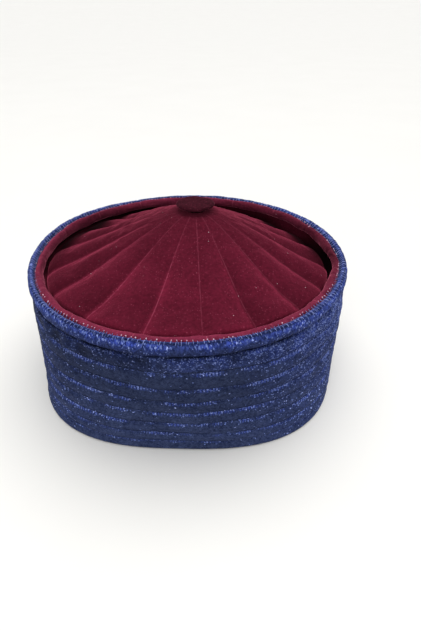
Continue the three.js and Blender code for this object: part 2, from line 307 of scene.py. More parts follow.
@dataclass(frozen=True)
class MetallicClothFinish:
    """Dark blue cloth whose metallic thread shines where it is turned up to the light, with painted
    highlights and glints in its colour and painted light and shade from the attribute shade.
    """

    name: str
    rows: bool
    streak_mm: tuple[float, float]
    spark_share: float
    ground: Colour = (0.0064, 0.0106, 0.0335)
    yarn: Colour = (0.037, 0.05, 0.111)
    groove_shadow: Colour = (0.0035, 0.0042, 0.0105)
    royal: Colour = (0.0095, 0.0165, 0.1)
    bright_royal: Colour = (0.051, 0.085, 0.4)
    glint: Colour = (0.112, 0.158, 0.39)
    flash: Colour = (0.38, 0.46, 0.9)
    flash_power: float = 6.0
    shine_tint: Colour = (0.48, 0.6, 1.0)
    specular: float = 0.09
    glint_tilt: float = 0.6
    weave_mm: float = 0.55
    tick_mm: float = 1.5
    grain_cells: float = 1100.0
    mottle_cells: float = 520.0
    shine_cells: float = 130.0
    tick_cells: float = 90.0
    patch_cells: float = 70.0
    dash_cells: float = 80.0
    groove_shadow_cells: float = 110.0

    def material(self) -> bpy.types.Material:
        """Make the node material.

        Returns:
            The metallic cloth.
        """
        graph = Graph(self.name)
        cloth_map = graph.term("ShaderNodeTexCoord", "UV")
        along, up = graph.terms("ShaderNodeSeparateXYZ", (0, 1), {0: cloth_map})
        grain = graph.noise(self.grain_cells, 3.0)
        wave = along * (FULL_TURN / self.tick_mm) + graph.noise(self.tick_cells) * 9.0
        tick = wave.maths("SINE").ramp(-0.3, 0.7)
        streaks = {
            0: along * (1.0 / self.streak_mm[0]) + grain * 0.8,
            1: up * (1.0 / self.streak_mm[1]) + tick * 0.5,
        }
        cells = {"Vector": graph.term("ShaderNodeCombineXYZ", 0, None, streaks), "Scale": 1.0}
        tint = graph.term("ShaderNodeTexVoronoi", "Color", None, cells)
        chance, bright, yarn = graph.terms("ShaderNodeSeparateColor", (0, 1, 2), {0: tint})
        patch = graph.noise(self.patch_cells).ramp(*MIDDLE, -0.12, 0.12)
        mottle = graph.noise(self.mottle_cells).ramp(*MIDDLE, -0.17, 0.17)
        worn = grain.ramp(0.3, 0.72) * 0.3 + yarn * 0.6 + 0.02 + mottle + patch
        colour = graph.mix(worn, self.ground, self.yarn)
        # Painted highlight: where the attribute glint is high, the colour turns royal blue and more cells
        # glint.
        shine = graph.attribute("glint") * graph.noise(self.shine_cells, 3.0).ramp(0.36, 0.64, 0.4, 1.0)
        if self.rows:
            # Painted highlight along the rows' lips and painted shadow in their grooves.
            lip, groove_shadow = self.row_marks(graph)
            shine = (shine + lip * (tick * 0.85 + 0.35)) * (1.0 - groove_shadow)
            colour = graph.mix(groove_shadow, colour, self.groove_shadow)
        # Painted glints: glinting cells get a bright base colour, besides their tipped normal and metal.
        spark = chance > 1.0 - shine * self.spark_share
        colour = graph.mix(shine, colour, graph.mix(yarn, self.royal, self.bright_royal))
        colour = graph.mix(spark, colour, graph.mix(bright ** self.flash_power, self.glint, self.flash))
        # The base colour also takes the painted light and shade of the attribute shade.
        shader = {
            "Base Color": graph.shaded(colour),
            "Roughness": 0.75 - spark * 0.3,
            "Metallic": shine * 0.2 + spark * 0.3,
            "Specular IOR Level": self.specular,
            "Specular Tint": (*self.shine_tint, 1.0),
            "Normal": self.turned(graph, tint, spark, self.weave(along, up) * 0.35 + grain),
        }
        return graph.finish(graph.surface(shader))

    def row_marks(self, graph: Graph) -> tuple[Term, Term]:
        """Painted highlight in broken lines on the cloth just under the stitched rows, and painted shadow in
        the rows' grooves.

        Args:
            graph: The material's graph.

        Returns:
            The lip's painted highlight and the groove's painted shadow.
        """
        band = graph.attribute("band")
        share = band.maths("FRACT")
        dash = graph.noise(self.dash_cells, 3.0).ramp(0.42, 0.6, 0.05, 1.0)
        lip = share.ramp(0.72, 0.88) * share.ramp(0.95, 0.985, 1.0, 0.0)
        lip = lip * dash * band.ramp(0.0, 7.0, 0.36, 1.0)
        groove_shadow = share.ramp(0.955, 0.985) + share.ramp(0.0, 0.04, 1.0, 0.0)
        return lip, groove_shadow * graph.noise(self.groove_shadow_cells).ramp(0.35, 0.65, 0.2, 0.75)

    def weave(self, along: Term, up: Term) -> Term:
        """Height of a plain weave, from -1 to 1, at millimetres round the cap and up the section."""
        turns = FULL_TURN / self.weave_mm
        return (along * turns).maths("SINE") * (up * turns).maths("SINE")

    def turned(self, graph: Graph, tint: Term, spark: Term, height: Term) -> Term:
        """Normal that tips each glinting thread its own way over a woven bump.

        Args:
            graph: The material's graph.
            tint: Random colour of each glint's cell.
            spark: One on a glint, else zero.
            height: Height of the weave.

        Returns:
            The normal.
        """
        away = graph.vector("SUBTRACT", {0: tint, 1: (0.5, 0.5, 0.5)})
        tip = graph.vector("SCALE", {0: away, "Scale": spark * self.glint_tilt})
        total = graph.vector("ADD", {0: graph.bump(0.5, 0.0003, height), 1: tip})
        return graph.vector("NORMALIZE", {0: total})


@dataclass(frozen=True)
class ThreadFinish:
    """Sewing thread with a fine twist."""

    name: str
    dark: Colour
    light: Colour
    roughness: float = 0.55
    metallic: float = 0.0
    fibre_cells: float = 1300.0
    lot_cells: float = 170.0

    def material(self) -> bpy.types.Material:
        """Make the node material.

        Returns:
            The thread.
        """
        graph = Graph(self.name)
        fibre = graph.noise(self.fibre_cells, 3.0)
        lot = graph.noise(self.lot_cells).ramp(0.35, 0.65)
        shader = {
            "Base Color": graph.mix(fibre.ramp(*MIDDLE) * 0.4 + lot * 0.6, self.dark, self.light),
            "Roughness": self.roughness,
            "Metallic": self.metallic,
            "Normal": graph.bump(0.4, 0.0002, fibre),
        }
        return graph.finish(graph.surface(shader))


@dataclass(frozen=True)
class FloorFinish:
    """Plain pale matt floor."""

    name: str = "pale_floor"
    low: Colour = (0.87, 0.855, 0.81)
    high: Colour = (0.91, 0.895, 0.85)
    roughness: float = 0.7
    patch_cells: float = 7.0

    def material(self) -> bpy.types.Material:
        """Make the node material.

        Returns:
            The floor's paint.
        """
        graph = Graph(self.name)
        colour = graph.mix(graph.noise(self.patch_cells, 3.0), self.low, self.high)
        return graph.finish(graph.surface({"Base Color": colour, "Roughness": self.roughness}))


class SoftWaves:
    """Smooth seeded noise that closes on itself round the cap."""

    def __init__(self, seed: int, turns: tuple[int, int], per_mm: float = 0.0, count: int = 24) -> None:
        """Choose the waves.

        Args:
            seed: Seed of the choice.
            turns: Least and most whole waves in a turn.
            per_mm: Most radians of wave in a millimetre up the section.
            count: How many waves are summed.
        """
        choice = np.random.default_rng(int(seed))
        self.turns = choice.integers(turns[0], turns[1] + 1, count)
        self.rise = choice.uniform(-per_mm, per_mm, count)
        self.phase = choice.uniform(0.0, FULL_TURN, count)

    def at(self, angle: Array, up: Array | float = 0.0) -> Array:
        """Read the noise.

        Args:
            angle: Angles round the cap, in radians.
            up: Places up the section, in millimetres.

        Returns:
            Values of about unit spread.
        """
        angle, up = np.broadcast_arrays(angle, up)
        total = np.zeros(angle.shape)
        for turns, rise, phase in zip(self.turns, self.rise, self.phase):
            total += np.cos(turns * angle + rise * up + phase)
        return total * math.sqrt(2.0 / len(self.turns))


@dataclass(frozen=True)
class Bump:
    """A rise, or a sag where below zero, round one direction of the cap; direction and spread in degrees."""

    direction: float
    spread: float
    height: float

    def at(self, angle: Array) -> Array:
        """Height of the bump in directions given in radians."""
        away = np.degrees(np.angle(np.exp(1j * (angle - math.radians(self.direction)))))
        return self.height * np.exp(-((away / self.spread) ** 2))


Bumps = tuple[Bump, ...]


def bumps_at(bumps: Bumps, angle: Array) -> Array | float:
    """Sum of the bumps in directions given in radians."""
    return sum(bump.at(angle) for bump in bumps)


def eased(value: Array, low: Array | float, high: Array | float) -> Array:
    """Smooth step from 0 at and below low to 1 at and above high."""
    share = np.clip((value - low) / (high - low), 0.0, 1.0)
    return share * share * (3.0 - 2.0 * share)


def whole_turn(count: int) -> Array:
    """Even directions over a whole turn, in radians."""
    return np.linspace(0.0, FULL_TURN, count, endpoint=False)


def turned_points(angle: Array, radius: Array, height: Array) -> Array:
    """Points at directions in radians, radii and heights, with a last axis of three."""
    angle, radius, height = np.broadcast_arrays(angle, radius, height)
    return np.stack([radius * np.cos(angle), radius * np.sin(angle), height], axis=-1)


@contextmanager
def editing() -> Iterator[None]:
    """Edit the active mesh with all of it selected, and shade it smooth afterwards."""
    bpy.ops.object.mode_set(mode="EDIT")
    bpy.ops.mesh.select_all(action="SELECT")
    yield
    bpy.ops.object.mode_set(mode="OBJECT")
    bpy.ops.object.shade_smooth()


def subdivide(piece: Piece) -> None:
    """Smooth the active piece by one applied subdivision.

    Args:
        piece: The active piece.
    """
    smooth = piece.modifiers.new("smooth", "SUBSURF")
    smooth.levels = smooth.render_levels = 1
    bpy.ops.object.modifier_apply(modifier=smooth.name)
    bpy.ops.object.shade_smooth()


@dataclass(frozen=True)
class CapPlan:
    """Plan and heights that every piece shares, in millimetres from the middle of the rim."""

    rim_half_x: float = 89.1
    rim_half_y: float = 89.7
    rim_z: float = 71.8
    hem_half_x: float = 91.3
    hem_half_y: float = 92.0
    hem_front_power: float = 2.78
    hem_back_power: float = 2.2
    hem_turn_deg: float = -1.4
    right_bulge: float = 1.8
    wall_spread: float = 4.4
    straight_below_rim: float = 9.0
    apex_x: float = 5.0
    apex_y: float = 4.0

    def shift(self) -> Array:
        """Way from the plan's own middle to the frame's, found from the button's place there."""
        low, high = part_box("crown_button")
        return np.array([*((low + high) / 2.0).xy, 0.0]) / MM - np.array([self.apex_x, self.apex_y, 0.0])

    @staticmethod
    def oval(half_x: float, half_y: float, power: Array | float, angle: Array) -> Array:
        """Radius of an oval of those half sizes; a power over two gives squarer corners."""
        total = np.abs(np.cos(angle) / half_x) ** power + np.abs(np.sin(angle) / half_y) ** power
        return total ** (-1.0 / power)

    def rim(self, angle: Array) -> Array:
        """Radius of the line where velvet meets blue cloth."""
        return self.oval(self.rim_half_x, self.rim_half_y, 2.0, angle)

    def bulge(self, angle: Array) -> Array:
        """How far the wall's top stands out beyond its even plan, most of it at the right."""
        return self.right_bulge * ((1.0 + np.cos(angle)) / 2.0) ** 2

    def hem(self, angle: Array) -> Array:
        """Radius of the hem.

        Args:
            angle: Directions, in radians.

        Returns:
            The radius in each direction, of a squarer oval at the front than at the back.
        """
        turned = angle - math.radians(self.hem_turn_deg)
        front = eased(-np.sin(turned), -0.4, 0.6)
        power = self.hem_back_power + (self.hem_front_power - self.hem_back_power) * front
        return self.oval(self.hem_half_x, self.hem_half_y, power, turned)

    def wall(self, angle: Array, height: Array) -> Array:
        """Radius of the wall's outside before it is quilted.

        Args:
            angle: Directions, in radians.
            height: Heights over the floor.

        Returns:
            The radius at each place.
        """
        share = np.minimum(height / (self.rim_z - self.straight_below_rim), 1.0)
        top = self.rim(angle) + self.wall_spread + self.bulge(angle)
        return self.hem(angle) * (1.0 - share) + top * share


@dataclass
class SoftRing:
    """A closed ring of cloth, begun as a flat grid that is rolled up section by section."""

    name: str
    points: Array
    attributes: dict[str, Array]

    def build(self) -> Piece:
        """Make the mesh.

        Returns:
            The new object, with a map in millimetres round and along its sections.
        """
        around, along, _ = self.points.shape
        bpy.ops.object.select_all(action="DESELECT")
        bpy.ops.mesh.primitive_grid_add(x_subdivisions=around, y_subdivisions=along, size=0.2)
        made = bpy.context.object
        made.name = self.name
        mesh = made.data
        mesh.name = self.name
        mesh.vertices.foreach_set("co", self.rolled(self.points * MM))
        for name, values in self.attributes.items():
            layer = mesh.attributes.new(name, "FLOAT", "POINT")
            layer.data.foreach_set("value", self.rolled(np.broadcast_to(values, self.points.shape[:2])))
        self.map_cloth(mesh)
        mesh.update()
        with editing():
            bpy.ops.mesh.remove_doubles(threshold=1e-6)
            bpy.ops.mesh.delete_loose()
        return made

    @staticmethod
    def rolled(values: Array) -> Array:
        """Values in the grid's own order, where its last column and row fall on the first."""
        spare = [(0, 1), (0, 1)] + [(0, 0)] * (values.ndim - 2)
        return np.pad(values, spare, mode="wrap").swapaxes(0, 1).astype(np.float32).ravel()

    def map_cloth(self, mesh: bpy.types.Mesh) -> None:
        """Write the map of the cloth, in millimetres, into the grid's own map.

        Args:
            mesh: The shaped mesh.
        """
        around = self.points.shape[0]
        corner = np.empty(len(mesh.loops), dtype=np.int32)
        mesh.loops.foreach_get("vertex_index", corner)
        girth = FULL_TURN * np.hypot(self.points[..., 0], self.points[..., 1]).mean()
        closed = np.concatenate([self.points, self.points[:, :1]], axis=1)
        steps = np.linalg.norm(np.diff(closed, axis=1), axis=2).mean(axis=0)
        walk = np.concatenate([[0.0], np.cumsum(steps)])
        round_mm = (corner % (around + 1)) * girth / around
        flat = np.stack([round_mm, walk[corner // (around + 1)]], axis=1)
        mesh.uv_layers[0].data.foreach_set("uv", flat.astype(np.float32).ravel())


@dataclass(frozen=True)
class Swelling:
    """A short cloth run that fills a sewn piece between its seams; the sewn points stay put."""

    pressure: float
    slack: float
    loose_slack: float
    frames: int
    reach_mm: float

    def run(self, piece: Piece) -> None:
        """Swell the piece and smooth it once.

        Args:
            piece: A piece with the attributes sewn and loose.
        """
        before = self.spots(piece)
        self.swell(piece)
        move = self.spots(piece) - before
        length = np.linalg.norm(move, axis=1, keepdims=True)
        move *= np.minimum(1.0, self.reach_mm * MM / np.maximum(length, 1e-9))
        piece.data.vertices.foreach_set("co", (before + move).astype(np.float32).ravel())
        for name in ("sewn", "loose"):
            piece.data.attributes.remove(piece.data.attributes[name])
        subdivide(piece)

    def swell(self, piece: Piece) -> None:
        """Run the cloth, with the attributes as its vertex groups, and apply it.

        Args:
            piece: The active piece.
        """
        for name in ("sewn", "loose"):
            values = np.array([point.value for point in piece.data.attributes[name].data]).round(1)
            group = piece.vertex_groups.new(name=name)
            for level in np.unique(values):
                group.add(np.flatnonzero(values == level).tolist(), float(level), "REPLACE")
        cloth = piece.modifiers.new("swell", "CLOTH")
        settings = {
            "quality": 5,
            "mass": 0.1,
            "tension_stiffness": 20.0,
            "compression_stiffness": 20.0,
            "shear_stiffness": 8.0,
            "bending_stiffness": 0.15,
            "use_pressure": True,
            "uniform_pressure_force": self.pressure,
            "shrink_min": -self.slack,
            "shrink_max": -self.loose_slack,
            "vertex_group_mass": "sewn",
            "vertex_group_shrink": "loose",
        }
        for key, value in settings.items():
            setattr(cloth.settings, key, value)
        cloth.settings.effector_weights.gravity = 0.0
        scene = bpy.context.scene
        for number in range(1, self.frames + 1):
            scene.frame_set(number)
        bpy.ops.object.modifier_apply(modifier=cloth.name)
        scene.frame_set(1)
        piece.vertex_groups.clear()

    @staticmethod
    def spots(piece: Piece) -> Array:
        """The piece's points, in metres."""
        return np.array([vertex.co[:] for vertex in piece.data.vertices], dtype=np.float32)


@dataclass(frozen=True)
class OvalSection:
    """Oval section of the bead or the roll, as offsets from the rim line in millimetres."""

    inner: float
    outer: float
    bottom: float
    half_height: float
    front_height: float
    outer_right: float = 0.0
    outer_front: float = 0.0
    top_bumps: Bumps = ()
    bottom_bumps: Bumps = ()
    inner_bumps: Bumps = ()
    outer_bumps: Bumps = ()

    def low(self, angle: Array) -> Array:
        """Lower limit over the rim line."""
        return self.bottom + bumps_at(self.bottom_bumps, angle)

    def high(self, angle: Array) -> Array:
        """Upper limit over the rim line."""
        even = self.bottom + 2.0 * (self.half_height - self.front_height * np.sin(angle))
        return even + bumps_at(self.top_bumps, angle)

    def at(
        self, plan: CapPlan, angle: Array, turn: Array | float, lift: Array | float = 0.0
    ) -> tuple[Array, Array]:
        """A place on the section.

        Args:
            plan: The cap's plan.
            angle: Directions round the cap, in radians.
            turn: Directions round the section, in radians from its outer side up.
            lift: Distance out of the surface.

        Returns:
            Radius and height.
        """
        inner = self.inner + bumps_at(self.inner_bumps, angle)
        outer = self.outer + self.outer_right * np.cos(angle) - self.outer_front * np.sin(angle)
        outer = outer + bumps_at(self.outer_bumps, angle)
        low, high = self.low(angle), self.high(angle)
        radius = plan.rim(angle) + (outer + inner) / 2.0 + ((outer - inner) / 2.0 + lift) * np.cos(turn)
        height = plan.rim_z + (low + high) / 2.0 + ((high - low) / 2.0 + lift) * np.sin(turn)
        return radius, height


BEAD_SECTION = OvalSection(
    inner=0.25,
    outer=4.4,
    bottom=-5.0,
    half_height=3.1,
    front_height=0.28,
    outer_right=0.7,
    outer_front=0.6,
    top_bumps=(Bump(155, 25, 1.7), Bump(-138, 24, -1.35), Bump(-95, 20, -0.25), Bump(-48, 22, -1.1)),
    bottom_bumps=(Bump(-140, 30, -2.7), Bump(-95, 22, -0.9), Bump(-52, 24, -1.3)),
    inner_bumps=(Bump(-10, 16, 1.0),),
)
ROLL_SECTION = OvalSection(
    inner=-4.85,
    outer=0.0,
    bottom=-5.0,
    half_height=2.75,
    front_height=-0.25,
    top_bumps=(Bump(155, 25, 1.2), Bump(-110, 35, 0.6)),
    inner_bumps=(Bump(-8, 10, 1.5), Bump(-95, 25, -0.8)),
    outer_bumps=(Bump(-10, 16, 0.9),),
)


@dataclass(frozen=True)
class StitchRow:
    """One stitched row of the wall: its height, and the waves that it wanders in."""

    height: float
    waves: int
    phase: float


ROWS = (
    StitchRow(6.0, 3, 0.4),
    StitchRow(12.6, 4, 2.1),
    StitchRow(21.2, 3, 4.0),
    StitchRow(29.3, 5, 1.2),
    StitchRow(37.3, 4, 5.3),
    StitchRow(46.4, 3, 2.8),
    StitchRow(56.2, 4, 0.9),
)


@dataclass
class QuiltedWall:
    """The padded blue wall with its stitched rows, in millimetres."""

    plan: CapPlan
    around: int = 320
    band_steps: int = 7
    inside_steps: int = 8
    top_below_rim: float = 5.4
    bead_gap: float = 0.4
    top_out: float = 2.6
    top_step: float = 0.3
    top_in: float = -1.0
    top_slope: float = 1.8
    inside: float = -1.9
    hem_thick: float = 5.0
    hem_round: float = 1.0
    hem_corner: float = 0.3
    row_depth: float = 1.2
    row_wander: float = 0.5
    row_shake: float = 0.16
    pucker: float = 0.16
    pucker_reach: float = 2.4
    fold: float = 0.4
    wave: float = 0.3
    dim_deg: float = 232.0
    swelling: Swelling = Swelling(pressure=6.0, slack=0.012, loose_slack=0.05, frames=12, reach_mm=1.0)

    def row_height(self, row: StitchRow, angle: Array) -> Array:
        """Height of a stitched row in directions given in radians."""
        shake = self.row_shake * SoftWaves(int(row.height * 10), (6, 26), count=12).at(angle)
        return row.height + self.row_wander * np.sin(row.waves * angle + row.phase) + shake

    def row_point(self, row: StitchRow, angle: Array, lift: float, rise: Array) -> Array:
        """Points so far out of a stitched row and up from it, in directions given in radians."""
        height = self.row_height(row, angle)
        return turned_points(angle, self.plan.wall(angle, height) - self.row_depth + lift, height + rise)

    def outer_top(self, angle: Array) -> Array:
        """Height of the outside's upper edge, just under the bead."""
        return self.plan.rim_z + BEAD_SECTION.low(angle) - self.bead_gap

    def face(self, angle: Array) -> tuple[Array, Array, Array]:
        """The quilted outside, from the hem to the top.

        Args:
            angle: Directions, one row of the grid each.

        Returns:
            Radius and height of the points, and their place counted in bands.
        """
        levels = [np.full_like(angle, self.hem_round)]
        levels += [self.row_height(row, angle) for row in ROWS]
        levels += [self.outer_top(angle)]
        last = len(ROWS)
        steps = np.arange(self.band_steps) / self.band_steps
        reach = self.plan.wall_spread + self.plan.bulge(angle) - self.row_depth - self.top_out
        radii, heights, counts = [], [], []
        for number, (low, high) in enumerate(zip(levels, levels[1:])):
            share = steps[None, :] if number < last else np.append(steps, 1.0)[None, :]
            height = low + (high - low) * share
            across = (1.0 + share) / 2.0 if number == 0 else share
            swell = (1.0 - np.abs(2.0 * across - 1.0) ** 2.6) ** 0.75
            drawn = reach * share if number == last else 0.0
            radii.append(self.plan.wall(angle, height) + self.row_depth * (swell - 1.0) - drawn)
            heights.append(height)
            counts.append(np.broadcast_to(number + share, height.shape))
        radius, height, count = (np.concatenate(part, axis=1) for part in (radii, heights, counts))
        near = np.min([np.abs(height - level) for level in levels[1:-1]], axis=0)
        free = count % 1.0 > 0.0
        gather = SoftWaves(Seed.PUCKERS, (60, 150), 0.5, 30).at(angle, height)
        waves = SoftWaves(Seed.WALL_WAVES, (3, 14), 0.1, 20).at(angle, height)
        radius = radius + self.pucker * gather * np.exp(-near / self.pucker_reach) * free
        radius = radius + self.fold * self.folds(angle, height) * (count > last) * free
        radius = radius + self.wave * waves * eased(height, 0.0, 12.0)
        return radius, height, count

    @staticmethod
    def folds(angle: Array, height: Array) -> Array:
        """Soft folds of the loose cloth under the bead, of about unit spread."""
        return SoftWaves(Seed.FOLDS, (10, 44), 0.5, 30).at(angle, height)

    @staticmethod
    def upturn(radius: Array, height: Array) -> Array:
        """Sine of the face's slope, above zero where the cloth faces up to the light."""
        slope = np.gradient(radius, axis=1) / np.maximum(np.gradient(height, axis=1), 0.05)
        return -slope / np.sqrt(1.0 + slope**2)

    def lustre(
        self, angle: Array, radius: Array, height: Array, count: Array
    ) -> tuple[Array, Array]:
        """Painted glint and painted light and shade of the quilted outside.

        Args:
            angle: Directions, in radians.
            radius: Radii of the face.
            height: Heights of the face.
            count: Places counted in bands.

        Returns:
            The painted glint, from 0 to 1, and the painted shade.
        """
        loose = count > len(ROWS)
        right = eased(np.cos(angle), 0.2, 0.95)
        left = eased(-np.cos(angle), 0.3, 1.0)
        raised = eased(height, 20.0, 60.0)
        lowered = 1.0 - eased(height, 10.0, 48.0)
        upturned = eased(self.upturn(radius, height), 0.1, 0.6)
        dim = loose * eased(np.cos(angle - math.radians(self.dim_deg)), 0.75, 0.97)
        folded = loose * eased(-self.folds(angle, height), 0.2, 1.6)
        # Painted shadow of the bead: a broken dark line along the wall's top, with no glint.
        bead_shadow = eased(count, len(ROWS) + 0.82, len(ROWS) + 0.93)
        bead_shadow = np.clip(bead_shadow * (0.85 + 0.2 * SoftWaves(Seed.TUCK, (8, 60)).at(angle)), 0.0, 1.0)
        # Painted glint: more at the right and high up, a little at the left, and on loose cloth that turns
        # up to the light, less at the dim left front.
        glint = 0.015 + (0.18 + 0.42 * raised) * right + 0.1 * left
        glint = glint + loose * (0.27 + 0.45 * upturned) * (1.0 - 0.6 * dim)
        # Painted light and shade: lighter towards the hem, darker in the folds' hollows, under the bead and
        # at the dim left front.
        shade = (0.91 + 0.54 * lowered) * (1.0 - 0.45 * folded) * (1.0 - 0.82 * bead_shadow) * (1.0 - 0.32 * dim)
        return np.clip(glint, 0.0, 1.0) * (1.0 - bead_shadow), shade

    def hidden_sides(self, angle: Array) -> tuple[tuple[Array, Array], ...]:
        """The wall's upper edge, its inside and the hem's underside.

        Args:
            angle: Directions, in radians.

        Returns:
            Radius and height of the points of each.
        """
        rim, hem = self.plan.rim(angle), self.plan.hem(angle)
        top = self.plan.rim_z - self.top_below_rim
        down = np.linspace(0.0, 1.0, self.inside_steps)[None, :]
        crest = (
            rim + np.array([[self.top_step, self.top_in]]),
            np.concatenate([self.outer_top(angle), np.full_like(angle, top)], axis=1),
        )
        inside = (
            (rim + self.inside) * (1.0 - down) + (hem - self.hem_thick) * down,
            (top - self.top_slope) * (1.0 - down) + 0.0 * rim,
        )
        sole = (
            hem - self.hem_round * np.array([[1.0, self.hem_corner]]),
            np.array([[0.0, self.hem_corner]]) + 0.0 * hem,
        )
        return crest, inside, sole

    def build(self) -> Piece:
        """Make the wall.

        Returns:
            The wall's object.
        """
        angle = whole_turn(self.around)[:, None]
        radius, height, count = self.face(angle)
        glint, shade = self.lustre(angle, radius, height, count)
        parts = zip((radius, height), *self.hidden_sides(angle))
        shape = [np.concatenate(part, axis=1) for part in parts]
        beyond = ((0, 0), (0, shape[0].shape[1] - radius.shape[1]))
        attributes = {
            "band": np.pad(count, beyond, constant_values=0.5),
            "glint": np.pad(glint, beyond, constant_values=0.1),
            "shade": np.pad(shade, beyond, constant_values=1.0),
            "sewn": np.pad((count % 1.0 == 0.0).astype(float), beyond, constant_values=1.0),
            "loose": np.pad((count > len(ROWS)).astype(float), beyond),
        }
        made = SoftRing("quilted_wall_cloth", turned_points(angle, *shape), attributes).build()
        self.swelling.run(made)
        return made


@dataclass
class RimBead:
    """The rolled blue edge, ribbed where its whip stitches draw it in, in millimetres."""

    plan: CapPlan
    around: int = 2000
    along: int = 26
    ribs: int = 240
    rib_height: float = 0.1
    wave: float = 0.12
    dent: float = 0.07

    def build(self) -> Piece:
        """Make the bead.

        Returns:
            The bead's object.
        """
        angle = whole_turn(self.around)[:, None]
        turn = whole_turn(self.along)[None, :]
        strong = np.clip(0.8 + 0.4 * SoftWaves(Seed.RIBS, (20, 90)).at(angle), 0.2, 1.4)
        rib = np.cos(self.ribs * angle + 0.5 * np.sin(turn))
        inward = eased(-np.cos(turn) + 0.6 * np.sin(turn), -0.4, 0.8)
        slack = self.wave * SoftWaves(Seed.BEAD_WAVES, (5, 30)).at(angle)
        slack = slack + self.dent * SoftWaves(Seed.BEAD_DENTS, (30, 90), 1.0).at(angle, turn)
        lift = self.rib_height * rib * strong * inward + slack
        radius, height = BEAD_SECTION.at(self.plan, angle, turn, lift)
        degrees = (np.degrees(turn) + 180.0) % 360.0 - 180.0
        aside = eased(np.abs(np.cos(angle)), 0.35, 0.9)
        outside = eased(degrees, -45.0, 0.0)
        over = eased(degrees, 5.0, 30.0)
        crest = np.exp(-(((degrees - 44.0) / 13.0) ** 2)) * strong
        held = eased(degrees, 58.0, 68.0) * (1.0 - eased(degrees, 90.0, 98.0))
        edge = eased(degrees, 92.0, 104.0)
        behind = eased(degrees, 125.0, 140.0)
        # Painted glint and painted light and shade round the section: darker underneath and behind, lighter
        # over the top and along the crest's highlight, darker where the stitches hold it, and a pale painted
        # highlight on the edge by the velvet.
        glint = 0.5 + 0.4 * aside + 0.5 * over + 0.2 * crest - 0.3 * held - 0.6 * edge
        shade = 0.5 + 0.35 * outside + 0.15 * over + 0.3 * crest - 0.5 * held + 0.35 * edge
        attributes = {"glint": np.clip(glint, 0.0, 1.0), "shade": shade * (1.0 - 0.5 * behind)}
        return SoftRing("rim_bead_cloth", turned_points(angle, radius, height), attributes).build()


@dataclass(frozen=True)
class Seams:
    """Seams round the cap, by their directions in degrees."""

    directions: tuple[float, ...]
    steps: int

    def spread(self) -> tuple[Array, Array, Array]:
        """Directions from seam to seam.

        Returns:
            The angles, the share of the way across each panel, and each panel's whole angle.
        """
        ends = np.array([*self.directions, self.directions[0] + 360.0])
        share = np.arange(self.steps) / self.steps
        wide = np.diff(ends)
        angle = np.radians(ends[:-1, None] + wide[:, None] * share[None, :])
        whole = np.radians(np.repeat(wide, self.steps))
        return angle.ravel()[:, None], np.tile(share, len(wide))[:, None], whole[:, None]


@dataclass
class VelvetRoll:
    """The padded velvet roll inside the bead, pinched by short seams, in millimetres."""

    plan: CapPlan
    along: int = 18
    pinch: float = 0.45
    pinch_mm: float = 1.6
    wave: float = 0.14
    inset: float = 0.1
    resting_inset: float = 0.05
    even_shade: float = 0.78
    shade_bumps: Bumps = (
        Bump(-4, 13, -0.3),
        Bump(27, 12, -0.15),
        Bump(50, 14, 0.25),
        Bump(74, 9, 0.4),
        Bump(108, 18, 0.4),
        Bump(143, 12, -0.1),
        Bump(170, 20, 0.2),
        Bump(-145, 22, -0.2),
    )
    seams: Seams = Seams((0, 23, 46, 69, 93, 117, 140, 163, 187, 210, 233, 256, 278, 299, 320, 340), 20)
    swelling: Swelling = Swelling(pressure=8.0, slack=0.02, loose_slack=0.02, frames=10, reach_mm=0.6)

    def build(self) -> Piece:
        """Make the roll.

        Returns:
            The roll's object.
        """
        angle, share, wide = self.seams.spread()
        turn = whole_turn(self.along)[None, :]
        gap = np.minimum(share, 1.0 - share) * wide * self.plan.rim(angle)
        slack = self.wave * SoftWaves(Seed.ROLL_WAVES, (6, 24), 0.3).at(angle, turn * 3.0)
        resting = eased(-np.sin(turn), 0.3, 0.9)
        lift = slack - self.pinch * np.exp(-((gap / self.pinch_mm) ** 2)) - self.inset
        lift = lift * (1.0 - resting) - self.resting_inset * resting
        radius, height = ROLL_SECTION.at(self.plan, angle, turn, lift)
        # The shade is lighter or darker by direction round the cap, with painted light along the roll's top,
        # less at the right and more at the front.
        front = eased(-np.sin(angle), 0.0, 0.6)
        right = eased(np.cos(angle - math.radians(10.0)), 0.55, 0.85)
        lit_top = 1.0 - eased(np.degrees(turn), 85.0 + 35.0 * front, 125.0 + 35.0 * front)
        shade_by_direction = self.even_shade + bumps_at(self.shade_bumps, angle)
        hidden = (np.sin(turn) < -0.2) & (np.cos(turn) > -0.3)
        attributes = {
            "seam_mm": gap,
            "shade": shade_by_direction + (0.55 - 0.48 * right + 0.16 * front) * lit_top,
            "sewn": ((gap < 0.1) | hidden).astype(float),
            "loose": np.zeros((1, 1)),
        }
        made = SoftRing("velvet_roll_cloth", turned_points(angle, radius, height), attributes).build()
        self.swelling.run(made)
        return made


